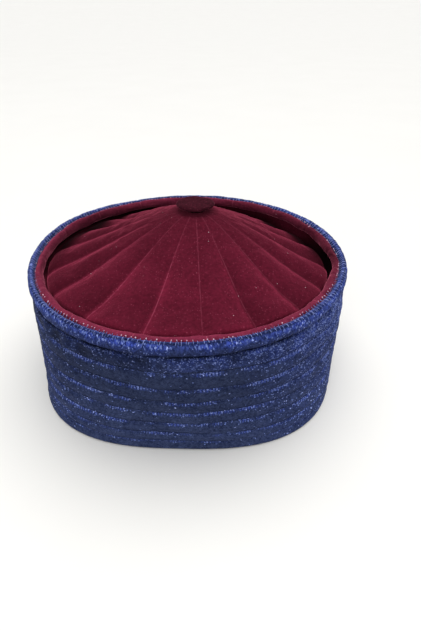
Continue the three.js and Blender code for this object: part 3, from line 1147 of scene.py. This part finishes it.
@dataclass
class VelvetCrown:
    """The tent of puffed velvet gores, in millimetres."""

    plan: CapPlan
    rings: int = 44
    under_rings: int = 14
    under_share: float = 0.92
    inset: float = 5.6
    reaches: Bumps = (Bump(38, 28, -3.5), Bump(-14, 12, 1.3), Bump(-95, 25, -0.7))
    puff: float = 2.5
    crease: float = 0.35
    thick: float = 2.2
    edge_drop: float = 2.4
    round_share: float = 0.935
    front_rise: float = 2.0
    top_rise: float = 23.7
    fall: float = 28.0
    level_share: float = 0.15
    turn_share: float = 0.03
    slopes: tuple[float, float, float] = (0.72, 1.0, -0.72)
    dip: float = 5.8
    dip_deg: float = 58.0
    dip_power: float = 1.6
    dents: Bumps = (Bump(60, 9, -1.0), Bump(120, 9, 1.3))
    hollows: tuple[tuple[Bump, float], ...] = ((Bump(67, 10, 1.7), 0.4), (Bump(145, 13, 2.2), 0.64))
    hollow_spread: float = 0.2
    shadows: Bumps = (Bump(36, 15, 0.14), Bump(152, 12, 0.14))
    clearing: Bump = Bump(84, 14, 0.25)
    skirt_out: tuple[float, ...] = (-5.4, -5.0, -4.6, -3.6, -2.7, -2.0, -2.0, -2.0, -7.0)
    skirt_up: tuple[float, ...] = (-7.6, -7.0, -5.6, -5.0, -4.95, -4.95, -6.0, -7.7, -10.8)
    trough_out: tuple[float, ...] = (-7.6, -4.4, -3.1, -2.9, -2.7, -2.0, -2.0, -2.0, -7.6)
    trough_up: tuple[float, ...] = (-13.6, -13.4, -10.0, -6.0, -4.9, -4.9, -7.0, -14.6, -15.6)
    skirt_shade: float = 0.04
    lit_deg: float = 48.0
    lit_steps: tuple[float, ...] = (0.0, 0.0, 0.14, 0.36, 0.4, 0.0, 0.0, 0.0, 0.0)
    glow: Bump = Bump(34, 10, 1.0)
    glow_steps: tuple[float, ...] = (0.0, 0.05, 0.4, 0.5, 0.5, 0.0, 0.0, 0.0, 0.0)
    lifted_steps: tuple[float, ...] = (0.9, 0.9, 0.6, 0.2, 0.0, 0.0, 0.0, 0.0, 0.0)
    seams: Seams = Seams(
        (-165, -146, -124, -102, -83, -65, -45, -26, -6, 14, 34, 54, 74, 94, 114, 134, 154, 174), 14
    )
    swelling: Swelling = Swelling(pressure=10.0, slack=0.012, loose_slack=0.012, frames=12, reach_mm=1.6)

    def rise(self, share: Array) -> Array:
        """Height of the seams over the rim line.

        Args:
            share: Shares of the way from the apex to the edge.

        Returns:
            The height at each share, level under the button and then on one smooth slope.
        """
        past = share - self.level_share
        way = (past + np.sqrt(past**2 + self.turn_share**2)) / (2.0 * (1.0 - self.level_share))
        first, second, third = self.slopes
        return self.top_rise - self.fall * way * (first + second * way + third * way**2)

    def edge(self, angle: Array) -> Array:
        """Radius where the gores end, further in where the trough is wide."""
        return self.plan.rim(angle) - self.inset + bumps_at(self.reaches, angle)

    def sunk(self, angle: Array, share: Array | float) -> Array:
        """How far the crown lies under its even profile.

        Args:
            angle: Directions, in radians.
            share: Shares of the way from the apex to the edge.

        Returns:
            The depth, most of it near the edge at the right of the back.
        """
        back = (1.0 + np.cos(angle - math.radians(self.dip_deg))) / 2.0
        depth = self.dip * (back * share) ** self.dip_power + bumps_at(self.dents, angle) * share**4
        for bump, centre in self.hollows:
            depth = depth + bump.at(angle) * np.exp(-(((share - centre) / self.hollow_spread) ** 2))
        return depth

    def dome(self, angle: Array, share: Array, rise: Array) -> Array:
        """Points of the tent.

        Args:
            angle: Directions, in radians.
            share: Shares of the way from the apex to the edge.
            rise: Heights over the rim line of an even tent.

        Returns:
            The points.
        """
        edge = self.edge(angle)
        across = self.plan.apex_x + (edge * np.cos(angle) - self.plan.apex_x) * share
        deep = self.plan.apex_y + (edge * np.sin(angle) - self.plan.apex_y) * share
        height = self.plan.rim_z + rise - self.sunk(angle, share)
        return np.stack(np.broadcast_arrays(across, deep, height), axis=-1)

    @staticmethod
    def grown(share: Array) -> Array:
        """How full the gores are, from the apex to the edge."""
        return eased(share, 0.15, 0.85)

    def gores(self, angle: Array, across: Array, share: Array) -> Array:
        """Heights of the puffed gores over the rim line.

        Args:
            angle: Directions, in radians.
            across: Shares of the way across each gore.
            share: Shares of the way from the apex to the edge.

        Returns:
            The heights, rounded off at the edge and raised there at the front.
        """
        aside = 2.0 * across - 1.0
        full = 1.0 - (1.0 - self.crease) * aside**2 - self.crease * aside**6
        lift = self.puff * self.grown(share) * full
        front = eased(-np.sin(angle), 0.2, 0.9)
        rounded = self.round_share - 0.035 * eased(-np.cos(angle), -0.2, 0.6)
        past = np.clip((share - rounded) / (1.0 - rounded), 0.0, 1.0)
        drop = self.edge_drop * past**2 * (1.0 - 0.8 * front)
        raised = self.front_rise * front * eased(share, 0.8, 1.0)
        return self.rise(share) + lift + raised - drop

    def skirt(self, angle: Array) -> Array:
        """Points of the cloth that runs from the gores under the roll to the wall.

        Args:
            angle: Directions, in radians.

        Returns:
            The points, lower where the crown sinks into its trough.
        """
        hollow = np.clip(self.sunk(angle, 1.0) / self.dip, 0.0, 1.0)
        out, up, trough_out, trough_up = (
            np.array([line]) for line in (self.skirt_out, self.skirt_up, self.trough_out, self.trough_up)
        )
        radius = self.plan.rim(angle) + out + (trough_out - out) * hollow
        return turned_points(angle, radius, self.plan.rim_z + up + (trough_up - up) * hollow)

    @staticmethod
    def shade_by_direction(angle: Array, across: Array, wide: Array) -> Array:
        """Painted sheen of the pile: lighter towards the side of each gore that leans to the back.

        Args:
            angle: Directions, in radians.
            across: Shares of the way across each gore.
            wide: Whole angle of each gore.

        Returns:
            The painted shade, about one on average.
        """
        side = np.clip(1.6 * np.cos(angle + (0.5 - across) * wide), -1.0, 1.0)
        gone = np.where(side > 0.0, 1.0 - across, across)
        return 1.0 + np.abs(side) * (0.32 - 0.6 * gone) + 0.4 * np.exp(-((gone / 0.14) ** 2))

    def gore_shade(
        self, angle: Array, across: Array, wide: Array, share: Array
    ) -> Array:
        """Painted light and shade of the gores.

        Args:
            angle: Directions, in radians.
            across: Shares of the way across each gore.
            wide: Whole angle of each gore.
            share: Shares of the way from the apex to the edge.

        Returns:
            The painted shade: painted shadow in the trough, a little darker at the top and the left, painted
                light along the front edge.
        """
        grow = self.grown(share)
        front = eased(-np.sin(angle), 0.2, 0.9)
        facing = eased(-np.sin(angle), 0.1, 0.6)
        left = eased(-np.cos(angle), 0.2, 0.7)
        sunken = 1.0 - eased(-np.sin(angle), -0.15, 0.35)
        deep = bumps_at(self.shadows, angle)
        near = eased(share, 0.81 - deep, 0.97 - 0.6 * deep)
        trough = (0.92 - self.clearing.at(angle)) * sunken * near
        top = 1.0 - eased(share, 0.3, 0.65)
        foot = facing * eased(share, 0.68, 0.93)
        rim = facing * eased(share, 0.972, 0.987)
        shade = self.shade_by_direction(angle, across, wide) * grow + (1.0 - grow)
        shade = shade * (1.0 - trough) * (0.94 + 0.2 * front) * (1.0 - 0.16 * top) * (1.0 - 0.14 * left)
        return shade * (1.0 - 0.14 * foot) * (1.0 + 0.6 * rim)

    def under_shade(self, angle: Array) -> Array:
        """Painted shade of the skirt.

        Args:
            angle: Directions, in radians.

        Returns:
            The painted shade: dark, apart from painted light on the trough's lit wall and at the front.
        """
        lit = eased(np.cos(angle - math.radians(self.lit_deg)), 0.7, 0.95)
        lifted = eased(-np.sin(angle), 0.1, 0.6) + 0.3 * eased(-np.cos(angle), 0.4, 0.8)
        shade = self.skirt_shade + lit * np.array([self.lit_steps])
        shade = shade + self.glow.at(angle) * np.array([self.glow_steps])
        return shade + lifted * np.array([self.lifted_steps])

    def build(self) -> Piece:
        """Make the crown.

        Returns:
            The crown's object.
        """
        angle, across, wide = self.seams.spread()
        share = np.linspace(0.0, 1.0, self.rings)[None, :]
        under = np.linspace(self.under_share, 0.0, self.under_rings)[None, :]
        tent = self.dome(angle, share, self.gores(angle, across, share))
        inner = self.dome(angle, under, self.rise(under) - self.thick + 0.0 * angle)
        points = np.concatenate([tent, self.skirt(angle), inner], axis=1)
        beyond = ((0, 0), (0, points.shape[1] - share.size))
        gap = np.minimum(across, 1.0 - across) * wide * self.edge(angle) * share
        gap = gap + CLEAR_OF_SEAMS * (share < 0.1)
        held = (across == 0.0) | (share < 0.14) | (share > 0.995)
        gore_shade = self.gore_shade(angle, across, wide, share)
        inner_shade = np.ones((len(angle), under.size))
        attributes = {
            "seam_mm": np.pad(gap, beyond, constant_values=CLEAR_OF_SEAMS)[:, ::-1],
            "shade": np.concatenate([gore_shade, self.under_shade(angle), inner_shade], axis=1)[:, ::-1],
            "sewn": np.pad(held.astype(float), beyond, constant_values=1.0)[:, ::-1],
            "loose": np.zeros((1, 1)),
        }
        made = SoftRing("velvet_crown_cloth", points[:, ::-1], attributes).build()
        self.swelling.run(made)
        return made


@dataclass
class CrownButton:
    """The flat velvet-covered button; its profile is in shares of its radius and thickness."""

    plan: CapPlan
    seat: float = 23.9
    radius: float = 11.3
    thick: float = 4.6
    around: int = 96
    profile: tuple[tuple[float, float], ...] = (
        *((0.0, 0.0), (0.3, 0.0), (0.52, 0.0), (0.58, 0.14), (0.66, 0.34), (0.84, 0.48), (0.95, 0.61)),
        *((1.0, 0.75), (0.985, 0.86), (0.93, 0.94), (0.84, 0.97), (0.7, 0.985), (0.5, 0.99)),
        *((0.25, 1.0), (0.0, 1.0)),
    )

    def build(self) -> Piece:
        """Make the button.

        Returns:
            The button's object.
        """
        reach, level = np.array(self.profile).T[:, None, :]
        angle = whole_turn(self.around)[:, None]
        wave = SoftWaves(Seed.BUTTON_WAVES, (2, 8), 0.3, 16).at(angle, reach * 10.0)
        radius = self.radius * reach * (1.0 + 0.008 * wave)
        dimple = 0.15 * wave * reach**2 * (level > 0.5)
        height = self.plan.rim_z + self.seat + self.thick * level + dimple
        points = turned_points(angle, radius, height) + np.array([self.plan.apex_x, self.plan.apex_y, 0.0])
        attributes = {
            "seam_mm": np.full((1, 1), CLEAR_OF_SEAMS),
            # Painted shadow: the button is dark under its rim.
            "shade": 0.1 + 0.9 * eased(level, 0.5, 0.68),
        }
        made = SoftRing("crown_button_cloth", points, attributes).build()
        subdivide(made)
        return made


UP = np.array([0.0, 0.0, 1.0])


@dataclass
class Stitches:
    """Many short stitches as one mesh; each is a thin thread along its own path, in millimetres."""

    name: str
    sides: int = 6

    def build(self, path: list[Array], thick: Array, outward: Array = UP) -> Piece:
        """Make the stitches.

        Args:
            path: Points of all the stitches, from their starts to their ends.
            thick: Radius of each thread.
            outward: Direction away from the cloth, of all or of each.

        Returns:
            The joined stitches.
        """
        paths = np.stack(path, axis=1)
        count, rings, _ = paths.shape
        along = np.gradient(paths, axis=1)
        along /= np.linalg.norm(along, axis=2, keepdims=True)
        outward = np.broadcast_to(outward, (count, 3))[:, None]
        out = outward - along * (outward * along).sum(axis=2, keepdims=True)
        out /= np.linalg.norm(out, axis=2, keepdims=True)
        aside = np.cross(along, out)
        turn = whole_turn(self.sides)[None, None, :, None]
        swell = 0.35 + 0.65 * np.sqrt(np.sin(math.pi * np.linspace(0.0, 1.0, rings).clip(0.02, 0.98)))
        girth = (thick[:, None] * swell[None, :])[:, :, None, None]
        circle = out[:, :, None] * np.cos(turn) + aside[:, :, None] * np.sin(turn)
        points = paths[:, :, None] + girth * circle
        side = np.arange(self.sides)
        first = np.arange(count)[:, None, None] * rings * self.sides
        ring = np.arange(rings - 1)[None, :, None] * self.sides
        here = first + ring + side[None, None, :]
        there = first + ring + (side[None, None, :] + 1) % self.sides
        quads = np.stack([here, here + self.sides, there + self.sides, there], axis=3).reshape(-1, 4)
        ends = first[:, 0] + side[None, :]
        caps = ends.tolist() + (ends[:, ::-1] + (rings - 1) * self.sides).tolist()
        mesh = bpy.data.meshes.new(self.name)
        mesh.from_pydata((points.reshape(-1, 3) * MM).tolist(), [], quads.tolist() + caps)
        mesh.update()
        made = bpy.data.objects.new(self.name, mesh)
        bpy.context.collection.objects.link(made)
        bpy.ops.object.select_all(action="DESELECT")
        made.select_set(True)
        bpy.context.view_layer.objects.active = made
        with editing():
            bpy.ops.mesh.normals_make_consistent(inside=False)
        return made


@dataclass
class RowStitching:
    """Metallic thread along the wall's stitched rows, in millimetres."""

    wall: QuiltedWall
    length: float = 1.4
    gap: float = 1.5
    radius: float = 0.16
    sink: float = 0.25

    def build(self) -> Piece:
        """Make all the rows' stitches.

        Returns:
            The joined stitches.
        """
        choice = np.random.default_rng(Seed.ROW_STITCHES.value)
        mean = self.wall.plan.hem_half_x
        count = int(FULL_TURN * mean / (self.length + self.gap))
        rows, outward = [], []
        for row in ROWS:
            first = (np.arange(count) + choice.uniform(-0.12, 0.12, count)) * FULL_TURN / count
            span = (self.length + choice.uniform(-0.5, 0.5, count)) / mean
            slant = choice.uniform(-0.2, 0.2, count)
            path = []
            for share in np.linspace(0.0, 1.0, 5):
                bow = 0.1 + 0.25 * math.sin(math.pi * share)
                rise = slant * (share - 0.5) - self.sink
                path.append(self.wall.row_point(row, first + span * share, bow, rise))
            rows.append(path)
            outward.append(turned_points(first, np.ones(count), np.zeros(count)))
        thick = self.radius * choice.uniform(0.6, 1.2, len(ROWS) * count)
        path = [np.concatenate(points) for points in zip(*rows)]
        return Stitches("row_stitches").build(path, thick, np.concatenate(outward))


@dataclass
class RimStitching:
    """Blue thread that whips the velvet roll to the blue bead, in millimetres and degrees."""

    plan: CapPlan
    count: int = 240
    radius: float = 0.21
    lift: float = 0.1
    roll_share: float = 0.2
    roll_start: float = 48.0
    roll_speed: float = 120.0
    bead_start: float = 150.0

    def directions(self) -> Array:
        """Directions of the stitches, in radians."""
        uneven = np.random.default_rng(Seed.WHIP_PLACES.value).uniform(-0.16, 0.16, self.count)
        return (np.arange(self.count) + 0.5 + uneven) * FULL_TURN / self.count

    def build(self) -> Piece:
        """Make the whipped stitches.

        Returns:
            The joined stitches.
        """
        choice = np.random.default_rng(Seed.WHIP_STITCHES.value)
        angle = self.directions()
        slant = choice.uniform(-0.004, 0.006, self.count)
        bead_end = choice.uniform(52.0, 78.0, self.count)
        path = []
        for share in np.linspace(0.0, 1.0, 9):
            turn_at = angle + slant * (share - 0.5)
            if share < self.roll_share:
                section, turn = ROLL_SECTION, self.roll_start - self.roll_speed * share
            else:
                reach = (share - self.roll_share) / (1.0 - self.roll_share)
                section, turn = BEAD_SECTION, self.bead_start - (self.bead_start - bead_end) * reach
            radius, height = section.at(self.plan, turn_at, np.radians(turn), self.lift)
            path.append(turned_points(turn_at, radius, height))
        thick = self.radius * choice.uniform(0.6, 1.25, self.count)
        return Stitches("rim_stitches").build(path, thick)


@dataclass
class ThreadDots:
    """Pale ends of thread that show where the whipped stitches leave the velvet.

    Each loose end is its direction and the section's angles where it starts and stops, in degrees.
    """

    stitching: RimStitching
    share: float = 0.4
    radius: float = 0.36
    cluster: Bump = Bump(-85, 8, 1.2)
    loose_ends: tuple[tuple[float, float, float], ...] = (
        (22.2, 122.0, 88.0),
        (24.4, 96.0, 74.0),
        (23.2, 84.0, 72.0),
    )

    def build(self) -> Piece:
        """Make the dots.

        Returns:
            The joined dots.
        """
        choice = np.random.default_rng(Seed.THREAD_DOTS.value)
        angle = self.stitching.directions()
        angle = angle[choice.random(angle.size) < self.share * (1.0 + self.cluster.at(angle))]
        first = np.radians(choice.uniform(50.0, 58.0, angle.size))
        last = first - np.radians(choice.uniform(9.0, 13.0, angle.size))
        ends = np.radians(np.array(self.loose_ends))
        angle, first, last = np.append([angle, first, last], ends.T, axis=1)
        slant = choice.uniform(-0.003, 0.003, angle.size)
        path = []
        for share in np.linspace(0.0, 1.0, 4):
            turn = first + (last - first) * share
            lift = 0.05 + 0.2 * math.sin(math.pi * share)
            radius, height = ROLL_SECTION.at(self.stitching.plan, angle, turn, lift)
            path.append(turned_points(angle + slant * share, radius, height))
        thick = self.radius * choice.uniform(0.5, 1.2, angle.size)
        return Stitches("rim_thread_dots").build(path, thick)


@dataclass
class Studio:
    """Floor, soft lights and the camera at the photograph's angle; lengths in metres where not named."""

    plan: CapPlan
    camera_mm: Place = (13.77, -239.76, 192.42)
    pitch_deg: float = 35.33
    focal_px: float = 435.0
    frame_px: tuple[int, int] = (421, 631)
    sensor_mm: float = 36.0
    world: Colour = (0.93, 0.95, 1.0)
    world_strength: float = 0.42
    ceiling_from: Place = (0.1, 0.25, 1.0)
    ceiling_spread_deg: float = 70.0
    ceiling_strength: float = 2.25
    fill_from: Place = (-0.2, -1.5, 0.9)
    fill_towards: Place = (0.0, 0.0, 0.06)
    fill_size: float = 1.2
    fill_watts: float = 9.0
    floor_radius: float = 6.0
    floor_below: float = 0.0002
    sweep_steps: int = 8
    sweep_rise: float = 0.03
    sweep_growth: float = 1.1

    def build(self) -> None:
        """Make the floor, the lights, the world and the camera."""
        self.floor()
        sky = {"angle": math.radians(self.ceiling_spread_deg), "energy": self.ceiling_strength}
        self.lamp("ceiling_light", "SUN", self.ceiling_from, (0.0, 0.0, 0.0), sky)
        square = {"size": self.fill_size, "energy": self.fill_watts}
        self.lamp("front_fill", "AREA", self.fill_from, self.fill_towards, square)
        world = bpy.data.worlds.new("soft_room")
        world.use_nodes = True
        backdrop = world.node_tree.nodes["Background"]
        backdrop.inputs["Color"].default_value = (*self.world, 1.0)
        backdrop.inputs["Strength"].default_value = self.world_strength
        bpy.context.scene.world = world
        bpy.context.scene.view_settings.view_transform = "Standard"
        self.camera()

    def floor(self) -> None:
        """Make the pale floor, a wide disc whose far edge sweeps up."""
        bpy.ops.object.select_all(action="DESELECT")
        middle = (0.0, 0.0, -self.floor_below)
        bpy.ops.mesh.primitive_circle_add(
            vertices=96, radius=self.floor_radius, fill_type="NGON", location=middle
        )
        disc = bpy.context.object
        disc.name = "pale_floor"
        bpy.ops.object.transform_apply(location=True, rotation=False, scale=False)
        with editing():
            bpy.ops.mesh.region_to_loop()
            for step in range(1, self.sweep_steps + 1):
                move = {"value": (0.0, 0.0, self.sweep_rise * step)}
                bpy.ops.mesh.extrude_edges_move(TRANSFORM_OT_translate=move)
                bpy.ops.transform.resize(value=(self.sweep_growth, self.sweep_growth, 1.0))
        disc.data.materials.append(FloorFinish().material())

    @staticmethod
    def lamp(name: str, kind: str, spot: Place, target: Place, settings: dict[str, float]) -> None:
        """Add a light.

        Args:
            name: Its name.
            kind: Blender's name of the kind of light.
            spot: Its place.
            target: The point that it faces.
            settings: Its size and strength.
        """
        data = bpy.data.lights.new(name, kind)
        for key, value in settings.items():
            setattr(data, key, value)
        lamp = bpy.data.objects.new(name, data)
        lamp.location = spot
        lamp.rotation_euler = (Vector(target) - Vector(spot)).to_track_quat("-Z", "Y").to_euler()
        bpy.context.collection.objects.link(lamp)

    def camera(self) -> None:
        """Make the camera."""
        data = bpy.data.cameras.new("photo_camera")
        data.sensor_width = self.sensor_mm
        data.lens = self.sensor_mm * self.focal_px / max(self.frame_px)
        data.clip_start = 0.01
        camera = bpy.data.objects.new("photo_camera", data)
        camera.location = (np.array(self.camera_mm) + self.plan.shift()) * MM
        camera.rotation_euler = (math.radians(90.0 - self.pitch_deg), 0.0, 0.0)
        bpy.context.collection.objects.link(camera)
        bpy.context.scene.camera = camera


@dataclass(frozen=True)
class Dressing:
    """How a finished piece joins the frame."""

    piece: Piece
    material: bpy.types.Material
    slot: Slot
    node: str | None = None
    fill: float | None = None

    def join(self, shift: Array) -> None:
        """Give the piece its material and its place in the frame.

        Args:
            shift: Way from the plan's middle to the frame's, in millimetres.
        """
        self.piece.data.transform(Matrix.Translation(Vector(shift * MM)))
        self.piece.data.materials.clear()
        self.piece.data.materials.append(self.material)
        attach(self.piece, "root")
        if self.node:
            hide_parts(self.node)
        LOG.info("%s: %d faces", self.piece.name, len(self.piece.data.polygons))


QUILT = MetallicClothFinish("quilted_metallic_cloth", rows=True, streak_mm=(0.64, 0.44), spark_share=0.46)
PIPING = MetallicClothFinish("rolled_metallic_cloth", rows=False, streak_mm=(0.6, 0.8), spark_share=0.26)
CROWN_VELVET = VelvetFinish(
    "wine_velvet_pile",
    deep=(0.06, 0.0048, 0.0124),
    pile=(0.127, 0.01, 0.0262),
    sheen_tint=(1.0, 0.14, 0.26),
    sheen_weight=0.58,
)
# A lighter copy of the crown's velvet with more sheen: its lighter colours are painted light on the roll.
ROLL_VELVET = VelvetFinish(
    "roll_velvet_pile",
    deep=(0.07, 0.0088, 0.0205),
    pile=(0.175, 0.02, 0.046),
    sheen_tint=(1.0, 0.22, 0.35),
    sheen_weight=0.9,
    seam_share=0.6,
)
BUTTON_VELVET = VelvetFinish(
    "button_velvet_pile",
    deep=(0.012, 0.0018, 0.004),
    pile=(0.052, 0.0064, 0.0135),
    sheen_tint=(1.0, 0.2, 0.34),
    sheen_weight=0.24,
)
METAL_THREAD = ThreadFinish(
    "blue_metal_thread", dark=(0.01, 0.014, 0.045), light=(0.1, 0.15, 0.45), roughness=0.4, metallic=0.4
)
WHIP_THREAD = ThreadFinish("whip_thread", dark=(0.06, 0.09, 0.32), light=(0.3, 0.36, 0.72))
PALE_THREAD = ThreadFinish("pale_thread", dark=(0.55, 0.2, 0.32), light=(0.97, 0.7, 0.82))


def main() -> None:
    """Build every piece, dress it, and set the studio."""
    logging.basicConfig(level=logging.INFO)
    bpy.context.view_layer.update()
    plan = CapPlan()
    wall = QuiltedWall(plan)
    whipping = RimStitching(plan)
    blue, wine = Slot.BLUE_CLOTH, Slot.WINE_VELVET
    pieces = (
        Dressing(wall.build(), QUILT.material(), blue, "quilted_wall", 0.4),
        Dressing(RimBead(plan).build(), PIPING.material(), blue, "rim_bead", 0.8),
        Dressing(VelvetRoll(plan).build(), ROLL_VELVET.material(), wine, "velvet_roll", 0.8),
        Dressing(VelvetCrown(plan).build(), CROWN_VELVET.material(), wine, "velvet_crown", 0.5),
        Dressing(CrownButton(plan).build(), BUTTON_VELVET.material(), wine, "crown_button", 0.7),
        Dressing(RowStitching(wall).build(), METAL_THREAD.material(), blue),
        Dressing(whipping.build(), WHIP_THREAD.material(), blue),
        Dressing(ThreadDots(whipping).build(), PALE_THREAD.material(), wine),
    )
    shift = plan.shift()
    for piece in pieces:
        piece.join(shift)
    Studio(plan).build()


if __name__ == "__main__":
    main()
